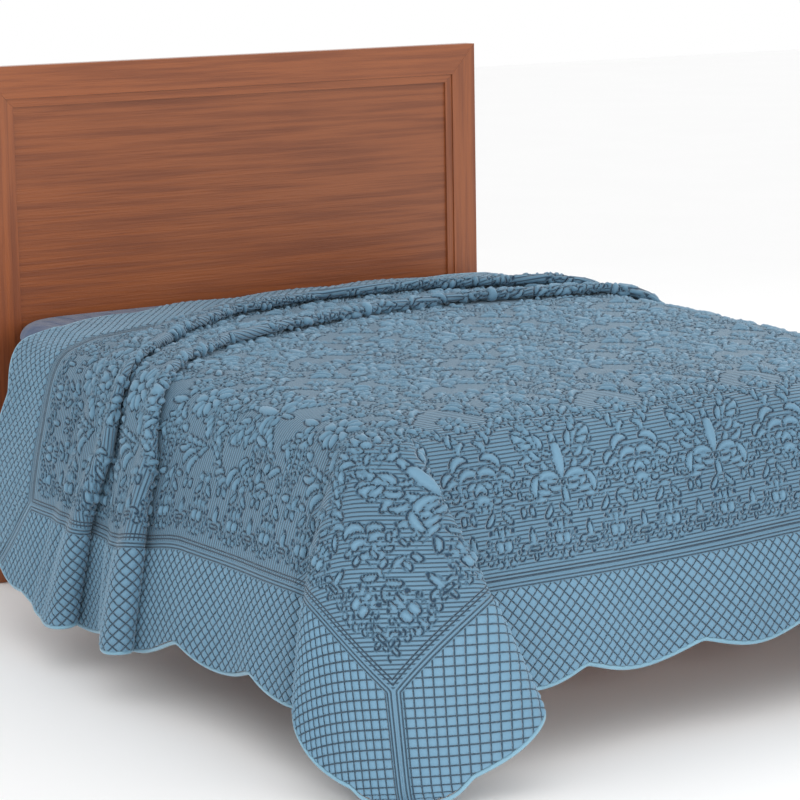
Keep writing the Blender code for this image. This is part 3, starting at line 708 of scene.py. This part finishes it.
def binding_material():
    made = Nodes("bias_binding")
    cloud = made.noise(9.0, 4.0)
    made.put(made.mix(cloud, BINDING_LIGHT, BINDING_DARK), made.shader.inputs["Base Color"])
    rib = made.noise(420.0, 2.0, (1, 1, 3))
    made.put(made.bump(rib, 0.0008), made.shader.inputs["Normal"])
    made.shader.inputs["Roughness"].default_value = 0.6
    made.shader.inputs["Sheen Weight"].default_value = 0.3
    return made.material


def sheet_material():
    made = Nodes("fitted_cover")
    cloud = made.noise(5.0, 4.0)
    made.put(made.mix(cloud, SHEET_DARK, SHEET_LIGHT), made.shader.inputs["Base Color"])
    fold = made.bump(made.noise(6.0, 2.0, (3.0, 1.0, 0.4)), 0.03)
    made.put(made.bump(made.noise(800.0, 2.0), 0.0004, fold), made.shader.inputs["Normal"])
    made.shader.inputs["Roughness"].default_value = 0.7
    made.shader.inputs["Sheen Weight"].default_value = 0.25
    return made.material


def wood_material(name, stretch, dark=1.0):
    """Cherry stain over straight grain that runs the way the board does."""
    made = Nodes(name)
    grain = made.noise(4.5, 8.0, stretch)
    streak = made.noise(16.0, 5.0, stretch)
    blotch = made.noise(1.6, 3.0)
    deep, warm, pale = (
        (*(dark * channel for channel in colour), 1) for colour in (WOOD_DEEP, WOOD_WARM, WOOD_PALE)
    )
    colour = made.mix(made.span(grain, 0.36, 0.70, 0.0, 0.75), warm, deep)
    colour = made.mix(made.span(streak, 0.52, 0.80, 0.0, 0.55), colour, deep)
    colour = made.mix(made.span(blotch, 0.45, 0.75, 0.0, 0.30), colour, pale)
    made.put(colour, made.shader.inputs["Base Color"])
    made.put(made.bump(streak, 0.0009), made.shader.inputs["Normal"])
    made.put(made.span(grain, 0.3, 0.7, 0.30, 0.46), made.shader.inputs["Roughness"])
    made.shader.inputs["Coat Weight"].default_value = 0.25
    made.shader.inputs["Coat Roughness"].default_value = 0.22
    return made.material


def grid_mesh(name, points, attributes, finish, closed=False):
    """A smooth sheet from rows of points, with a number for each point in each attribute."""
    rows, columns = points.shape[:2]
    mesh = bpy.data.meshes.new(name)
    mesh.vertices.add(rows * columns)
    mesh.vertices.foreach_set("co", (points + SHIFT).reshape(-1).astype(np.float32))
    i, j = np.meshgrid(np.arange(rows if closed else rows - 1), np.arange(columns - 1), indexing="ij")
    following = (i + 1) % rows
    near, far = i * columns + j, following * columns + j
    quads = np.stack([near, near + 1, far + 1, far]).reshape(4, -1).T
    mesh.loops.add(quads.size)
    mesh.loops.foreach_set("vertex_index", quads.reshape(-1).astype(np.int32))
    mesh.polygons.add(len(quads))
    mesh.polygons.foreach_set("loop_start", np.arange(0, quads.size, 4, dtype=np.int32))
    mesh.update()
    for key, values in attributes.items():
        made = mesh.attributes.new(key, "FLOAT", "POINT")
        made.data.foreach_set("value", values.reshape(-1).astype(np.float32))
    mesh.shade_smooth()
    mesh.materials.append(finish)
    piece = bpy.data.objects.new(name, mesh)
    bpy.context.scene.collection.objects.link(piece)
    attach(piece, "root")
    return piece


def crease(u, v):
    """Low soft unevenness where the cloth lies or hangs."""
    slow = np.sin(7.1 * u + 2.3 * v + 0.4) * np.sin(5.3 * v - 3.1 * u)
    quick = np.sin(23 * u + 9 * v) * np.sin(17 * v - 6 * u + 1.1)
    return 0.0016 * slow + 0.0007 * quick


def field_piece(name, columns, rows, finish):
    u, v = np.meshgrid(columns, rows)
    middle, normal = fine_normal(u, v)
    relief = field_relief(u, v)
    lift = FACE + FIELD_PUFF * relief + crease(u, v)
    inward, _ = seam_distance(u, v)
    for line in (FIRST_STITCH, SECOND_STITCH):
        lift = lift - LINE_DEPTH * np.exp(-(((inward - line) / LINE_SOFTNESS) ** 2))
    in_corner = (np.abs(u) > TOP_HALF_WIDTH) & (v < TOP_FOOT_Y)
    slanted = (np.abs(u) - TOP_HALF_WIDTH + TOP_FOOT_Y - v) / math.sqrt(2)
    channel = np.where(in_corner, slanted, TOP_FOOT_Y - v) / CHANNEL
    attributes = {"relief": relief, "seam": inward, "channel": channel}
    piece = grid_mesh(name, middle + normal * lift[..., None], attributes, finish)
    return piece


def field(finish):
    """The centre panel as four runs of fine cloth from foot to head."""
    seen = np.arange(-FIELD_HALF_WIDTH, SEEN_TO, FINE_CELL)
    steps = int((FIELD_HALF_WIDTH - SEEN_TO) / COARSE_CELL)
    hidden = np.linspace(seen[-1], FIELD_HALF_WIDTH, steps)[1:]
    columns = np.concatenate([seen, hidden])
    edges = np.linspace(FOOT_SEAM_V, HEAD_SEAM_V, FIELD_RUNS + 1)
    for k, (low, high) in enumerate(zip(edges, edges[1:])):
        rows = np.linspace(low, high, int((high - low) / FINE_CELL) + 1)
        field_piece(f"field_cloth_{k + 1}", columns, rows, finish)
    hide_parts("centre_panel")


def border_piece(name, node, u, v, out, mitre, finish):
    """One strip, turned so that its grid faces out of the bed."""
    if (u[0, 1] - u[0, 0]) * (v[1, 0] - v[0, 0]) < (v[0, 1] - v[0, 0]) * (u[1, 0] - u[0, 0]):
        u, v, out, mitre = (values[:, ::-1] for values in (u, v, out, mitre))
    middle, normal = fine_normal(u, v)
    a, b = diamond(u, v)
    seam = np.minimum(out, np.where(mitre < 0, 1.0, mitre))
    height = cell_height(a, b) * smooth((seam - 0.015) / 0.004)
    lift = FACE + CELL_PUFF * height + crease(u, v) - CELL_SINK
    attributes = {"relief": height, "seam": seam, "cell_a": a, "cell_b": b}
    piece = grid_mesh(name, middle + normal * lift[..., None], attributes, finish)
    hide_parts(node)


def borders(finish):
    """Four mitred strips of diamond quilting with a scalloped hem."""
    half_foot = FIELD_HALF_WIDTH + CORNER_BORDER
    for name, node, side, cell in (
        ("border_cloth_left", "border_left", -1, FINE_CELL),
        ("border_cloth_right", "border_right", 1, COARSE_CELL),
    ):
        across = np.linspace(0, 1, int(BORDER_WIDTH / cell))
        share = np.linspace(0, 1, int((HEAD_EDGE_V - FOOT_SEAM_V + BORDER_WIDTH) / cell))
        u, v = side_strip(side, across, share)
        out = np.abs(u) - FIELD_HALF_WIDTH
        mitre = np.minimum(v - FOOT_SEAM_V + out, HEAD_SEAM_V + out - v) / math.sqrt(2)
        border_piece(name, node, u, v, out, mitre, finish)
    for name, node, along_foot, cell in (
        ("border_cloth_foot", "border_foot", True, FINE_CELL),
        ("border_cloth_head", "border_head", False, HEAD_CELL),
    ):
        across = np.linspace(0, 1, int(BORDER_WIDTH / cell))
        share = np.linspace(-1, 1, int(2 * half_foot / cell))
        u, v = end_strip(along_foot, across, share)
        out = FOOT_SEAM_V - v if along_foot else v - HEAD_SEAM_V
        mitre = (FIELD_HALF_WIDTH + out - np.abs(u)) / math.sqrt(2)
        border_piece(name, node, u, v, out, mitre, finish)


def side_strip(side, across, share):
    """Flat points of a side border, from its foot mitre to its head mitre."""
    s, t = np.meshgrid(across, share)
    reach = s * CORNER_BORDER
    start, end = FOOT_SEAM_V - reach, HEAD_SEAM_V + reach
    v = start + (end - start) * t
    width = hem_width(v[:, -1:], FOOT_SEAM_V - BORDER_WIDTH, HEAD_EDGE_V, SIDE_CUSPS, SIDE_HEM)
    return side * (FIELD_HALF_WIDTH + s * width), v


def end_strip(along_foot, across, share):
    """Flat points of the foot border or the head border, from one mitre to the other."""
    s, t = np.meshgrid(across, share)
    u = t * (FIELD_HALF_WIDTH + s * CORNER_BORDER)
    edge = FIELD_HALF_WIDTH + BORDER_WIDTH
    width = hem_width(u[:, -1:], -edge, edge, FOOT_CUSPS, FOOT_HEM)
    width = width - FOOT_NARROWING * smooth((FIELD_HALF_WIDTH - np.abs(u[:, -1:])) / 0.5)
    return u, FOOT_SEAM_V - s * width if along_foot else HEAD_SEAM_V + s * width


BINDING_GROWTH = 0.0006
BINDING_POINTS = 700


def binding(finish):
    """The bias strip folded over the hem, as a soft flat tube all the way round."""
    ends = np.array([0.0, 1.0])
    share = np.linspace(0, 1, BINDING_POINTS)
    runs = [end_strip(True, ends, 2 * share - 1), side_strip(1, ends, share)]
    back = [end_strip(False, ends, 2 * share - 1), side_strip(-1, ends, share)]
    loop = [np.stack([u[:-1, 1], v[:-1, 1]], axis=1) for u, v in runs]
    loop += [np.stack([u[:0:-1, 1], v[:0:-1, 1]], axis=1) for u, v in back]
    ring = np.vstack(loop)
    ahead = np.roll(ring, -2, axis=0) - np.roll(ring, 2, axis=0)
    ahead /= np.linalg.norm(ahead, axis=1, keepdims=True)
    off = np.stack([ahead[:, 1], -ahead[:, 0]], axis=1)
    turns = np.linspace(0, 2 * math.pi, 13)
    half_width = BINDING_WIDTH / 2 + BINDING_GROWTH
    half_thick = BINDING_THICKNESS / 2 + 2 * BINDING_GROWTH
    centre = BINDING_GAP + BINDING_WIDTH / 2 - BINDING_GROWTH
    reach = centre - half_width * np.cos(turns)
    points = ring[:, None, :] + off[:, None, :] * reach[None, :, None]
    middle, normal = fine_normal(points[..., 0], points[..., 1])
    lift = half_thick * np.sin(turns)
    piece = grid_mesh("binding_cloth", middle + normal * lift[None, :, None], {}, finish, closed=True)
    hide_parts("edge_binding")


COVER_RADIUS = 0.045
COVER_INSET = 0.003
COVER_POWER = 14.0
PULL = 0.0022
PULL_ROOM = 0.0025


def mattress_cover(finish):
    """A fitted cover over the mattress: rounded edges and soft pulls at its sides."""
    low, high = (np.array(corner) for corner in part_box("mattress"))
    low, high = low + COVER_INSET, high - COVER_INSET
    high[2] = high[2] - 0.001
    shoulder = high[2] - COVER_RADIUS
    turns = np.linspace(0, 2 * math.pi, 361)[:-1]
    middle, half = (low + high) / 2, (high - low) / 2
    cx, cy = np.cos(turns), np.sin(turns)
    plan = (np.abs(cx) ** COVER_POWER + np.abs(cy) ** COVER_POWER) ** (-1 / COVER_POWER)
    rings = []
    for level in np.linspace(0, 1, 30):
        angle = level * math.pi / 2
        scale = 1 - (1 - math.cos(angle)) * COVER_RADIUS / half[0]
        rings.append((scale, high[2] - COVER_RADIUS * (1 - math.sin(angle))))
    sides = [(1.0, z) for z in np.linspace(low[2] + 0.01, shoulder, 24)]
    points = []
    for scale, z in sides + rings:
        pull = PULL * np.sin(46 * turns + 3 * math.sin(30 * z)) * (z < shoulder) - PULL_ROOM
        x = middle[0] + cx * plan * (half[0] * scale + pull)
        y = middle[1] + cy * plan * (half[1] - half[0] * (1 - scale) + pull)
        top = z - foot_drop(x, y)
        points.append(np.stack([x, y, np.where(z > shoulder, top, z)], axis=1))
    for scale in (0.9, 0.7, 0.5, 0.3, 0.1, 0.01):
        x = middle[0] + cx * plan * half[0] * scale * 0.94
        y = middle[1] + cy * plan * half[1] * scale * 0.94
        points.append(np.stack([x, y, high[2] - foot_drop(x, y)], axis=1))
    grid = np.array(points).transpose(1, 0, 2) - SHIFT
    piece = grid_mesh("mattress_cover", grid, {}, finish, closed=True)
    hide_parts("mattress")


def foot_drop(x, y):
    """How far the top of the mattress lies below its highest, under the cloth."""
    flat_x, flat_y = x - SHIFT[0], y - SHIFT[1]
    over = np.clip(TOP_FOOT_Y - flat_y, 0, None)
    level = top_height(np.clip(flat_x, -TOP_HALF_WIDTH, TOP_HALF_WIDTH), np.maximum(flat_y, TOP_FOOT_Y))
    return TOP_HEIGHT + HEAD_RISE - level + look_up(DOWN, over, np.full_like(over, math.pi / 2))


CLOTH_NODES = (
    "centre_panel",
    "border_left",
    "border_right",
    "border_foot",
    "border_head",
    "edge_binding",
    "mattress",
)
UPRIGHT_NODES = (
    "head_post_left",
    "head_post_right",
    "panel_bead_left",
    "panel_bead_right",
    "foot_leg_left",
    "foot_leg_right",
)


def dress_wood():
    """Wood on every bed node that no piece replaces, with its grain along the board."""
    across = wood_material("cherry_across", (0.5, 6.0, 16.0))
    upright = wood_material("cherry_upright", (16.0, 6.0, 0.5))
    panel = wood_material("cherry_panel", (0.45, 5.0, 14.0), 0.92)
    for name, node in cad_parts.items():
        if name in CLOTH_NODES:
            continue
        finish = upright if name in UPRIGHT_NODES else panel if name == "head_panel" else across
        node.data.materials.clear()
        node.data.materials.append(finish)


# Camera fitted to the headboard's corners and the bed's edges, in a picture 800 wide
CAMERA_PLACE = (-3.948, -5.966, 1.812)
CAMERA_YAW = 32.57
CAMERA_PITCH = 9.92
CAMERA_ROLL = -0.98
FOCAL_SHARE = 2868 / 800


def camera():
    yaw, pitch, roll = (math.radians(a) for a in (CAMERA_YAW, CAMERA_PITCH, CAMERA_ROLL))
    ahead = Vector((math.sin(yaw) * math.cos(pitch), math.cos(yaw) * math.cos(pitch), -math.sin(pitch)))
    level = Vector((math.cos(yaw), -math.sin(yaw), 0))
    upright = level.cross(ahead)
    right = math.cos(roll) * level + math.sin(roll) * upright
    up = -math.sin(roll) * level + math.cos(roll) * upright
    data = bpy.data.cameras.new("camera")
    data.sensor_width = 36.0
    data.lens = FOCAL_SHARE * data.sensor_width
    made = bpy.data.objects.new("camera", data)
    turn = Matrix((right, up, -ahead)).transposed().to_4x4()
    made.matrix_world = Matrix.Translation(Vector(CAMERA_PLACE) + Vector(SHIFT)) @ turn
    bpy.context.scene.collection.objects.link(made)
    bpy.context.scene.camera = made


# Light
SURROUND = 1.0
KEY_PLACE = (3.6, 1.2, 3.6)
KEY_POWER = 45
FILL_PLACE = (-2.6, -6.0, 1.5)
FILL_POWER = 140
FILL_COLOUR = (1.0, 0.98, 0.96)
LAMP_SIZE = 1.6
LAMP_AIM = (0, 0, 0.5)
FLOOR_SIZE = 40
FLOOR_PLACE = (0, 0, -0.001)


def lamp(name, place, power, colour):
    data = bpy.data.lights.new(name, "AREA")
    data.size, data.energy, data.color = LAMP_SIZE, power, colour
    made = bpy.data.objects.new(name, data)
    made.location = place
    made.rotation_euler = (Vector(LAMP_AIM) - Vector(place)).to_track_quat("-Z", "Y").to_euler()
    bpy.context.scene.collection.objects.link(made)


def studio():
    """A pale floor, a white surround, a weak lamp from the right of the head and a stronger one from the foot."""
    floor = Nodes("pale_floor")
    tone = floor.noise(1.5, 4.0)
    floor.put(floor.mix(tone, FLOOR_DARK, FLOOR_LIGHT), floor.shader.inputs["Base Color"])
    floor.shader.inputs["Roughness"].default_value = 0.8
    bpy.ops.mesh.primitive_plane_add(size=FLOOR_SIZE, location=FLOOR_PLACE)
    plane = bpy.context.object
    plane.name = "floor"
    plane.data.materials.append(floor.material)
    world = bpy.data.worlds.new("surround")
    world.use_nodes = True
    world.node_tree.nodes["Background"].inputs["Color"].default_value = WHITE
    world.node_tree.nodes["Background"].inputs["Strength"].default_value = SURROUND
    bpy.context.scene.world = world
    lamp("key", KEY_PLACE, KEY_POWER, WHITE[:3])
    lamp("fill", FILL_PLACE, FILL_POWER, FILL_COLOUR)


def main():
    camera()
    cloth, edge = cloth_material("field_quilting", False), cloth_material("border_quilting", True)
    mattress_cover(sheet_material())
    field(cloth)
    borders(edge)
    binding(binding_material())
    dress_wood()
    studio()
    bpy.context.scene.view_settings.view_transform = "Standard"


main()
